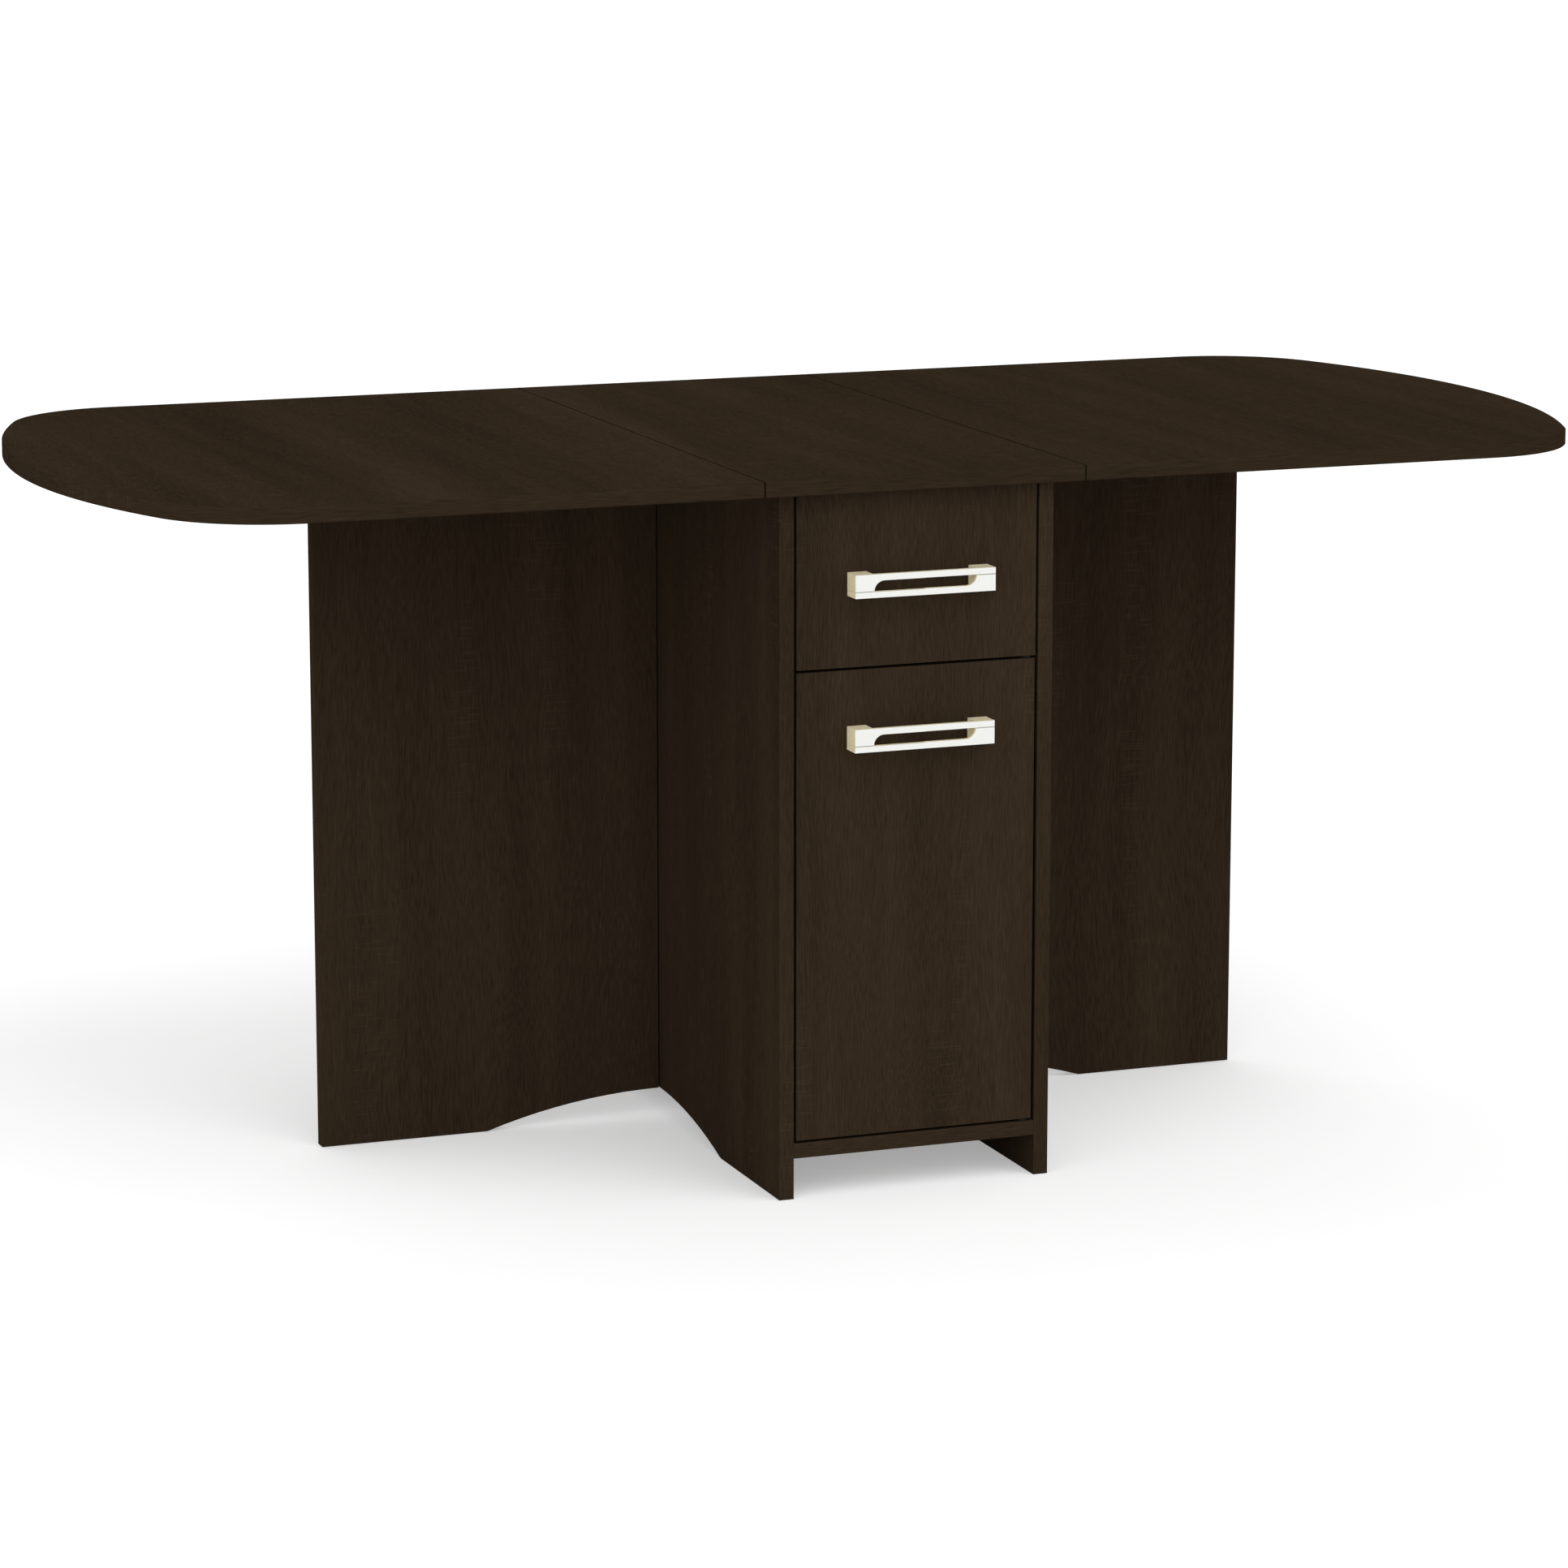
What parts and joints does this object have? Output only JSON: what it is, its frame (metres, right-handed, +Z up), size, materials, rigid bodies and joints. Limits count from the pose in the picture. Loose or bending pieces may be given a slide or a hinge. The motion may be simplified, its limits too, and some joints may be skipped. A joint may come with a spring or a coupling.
{
  "type": "drop-leaf dining table",
  "caption": "Dark wood drop-leaf dining table: a narrow cabinet with a drawer and a door, leaves with bowed ends, and gate panels that swing out to hold them up.",
  "frame": {"origin": "on the floor under the middle of the top", "axes": "+X along the table to the right as seen from the drawer, -Y towards the drawer and door, +Z up"},
  "size_m": [1.6698, 0.8, 0.75],
  "materials": {
    "dark_laminate": "satin dark oak laminate",
    "edge_band": "satin dark edge band",
    "drawer_board": "satin dark laminate",
    "fibreboard": "smooth hardboard",
    "handle_shell": "white face on a beige shell",
    "hinge_steel": "zinc plated",
    "blackened_steel": "blackened",
    "brown_plastic": "moulded",
    "pale_nylon": "moulded",
    "magnet": "dull ferrite with a steel face"
  },
  "bodies": {
    "cabinet": {"left_side_panel": "dark_laminate", "right_side_panel": "dark_laminate", "bottom_panel": "dark_laminate", "back_panel": "dark_laminate", "drawer_divider": "dark_laminate", "front_top_rail": "dark_laminate", "rear_top_rail": "dark_laminate", "shelf": "dark_laminate", "shelf_supports": "brown_plastic", "corner_blocks": "brown_plastic", "left_drawer_runner": "brown_plastic", "right_drawer_runner": "brown_plastic", "top_centre_panel": "dark_laminate", "top_centre_edge_bands": "edge_band", "leaf_hinge_fixed_plates": "hinge_steel", "leaf_hinge_pins": "hinge_steel", "gate_hinge_fixed_plates": "hinge_steel", "gate_hinge_pins": "hinge_steel", "door_lower_pivot": "blackened_steel", "door_upper_pivot": "blackened_steel", "catch_housing": "brown_plastic", "catch_magnet": "magnet"},
    "left_leaf_flap": {"left_leaf": "dark_laminate", "left_leaf_edge_band": "edge_band", "left_leaf_hinge_plates": "hinge_steel"},
    "right_leaf_flap": {"right_leaf": "dark_laminate", "right_leaf_edge_band": "edge_band", "right_leaf_hinge_plates": "hinge_steel"},
    "left_gate": {"left_gate_panel": "dark_laminate", "left_gate_pad": "pale_nylon", "left_gate_hinge_plates": "hinge_steel"},
    "right_gate": {"right_gate_panel": "dark_laminate", "right_gate_pad": "pale_nylon", "right_gate_hinge_plates": "hinge_steel"},
    "drawer": {"drawer_front": "dark_laminate", "drawer_left_side": "drawer_board", "drawer_right_side": "drawer_board", "drawer_back": "drawer_board", "drawer_bottom": "fibreboard", "drawer_handle_upper": "handle_shell", "drawer_handle_lower": "handle_shell"},
    "door": {"door_panel": "dark_laminate", "door_bushes": "brown_plastic", "catch_strike": "hinge_steel", "door_handle_upper": "handle_shell", "door_handle_lower": "handle_shell"}
  },
  "joints": [
    {"name": "left_gate_swing", "type": "hinge", "parent": "cabinet", "child": "left_gate", "pos_m": [-0.1528, 0.0108, 0], "axis": [0, 0, -1], "range_deg": [0, 90]},
    {"name": "right_gate_swing", "type": "hinge", "parent": "cabinet", "child": "right_gate", "pos_m": [0.1528, 0.0108, 0], "axis": [0, 0, 1], "range_deg": [0, 90]},
    {"name": "left_leaf_lift", "type": "hinge", "parent": "cabinet", "child": "left_leaf_flap", "pos_m": [-0.1742, 0, 0.7312], "axis": [0, 1, 0], "range_deg": [0, 2]},
    {"name": "right_leaf_lift", "type": "hinge", "parent": "cabinet", "child": "right_leaf_flap", "pos_m": [0.1742, 0, 0.7312], "axis": [0, -1, 0], "range_deg": [0, 2]},
    {"name": "drawer_slide", "type": "slide", "parent": "cabinet", "child": "drawer", "axis": [0, -1, 0], "range_m": [0, 0.33]},
    {"name": "door_swing", "type": "hinge", "parent": "cabinet", "child": "door", "pos_m": [0.12325, -0.367, 0], "axis": [0, 0, 1], "range_deg": [0, 100]}
  ]
}
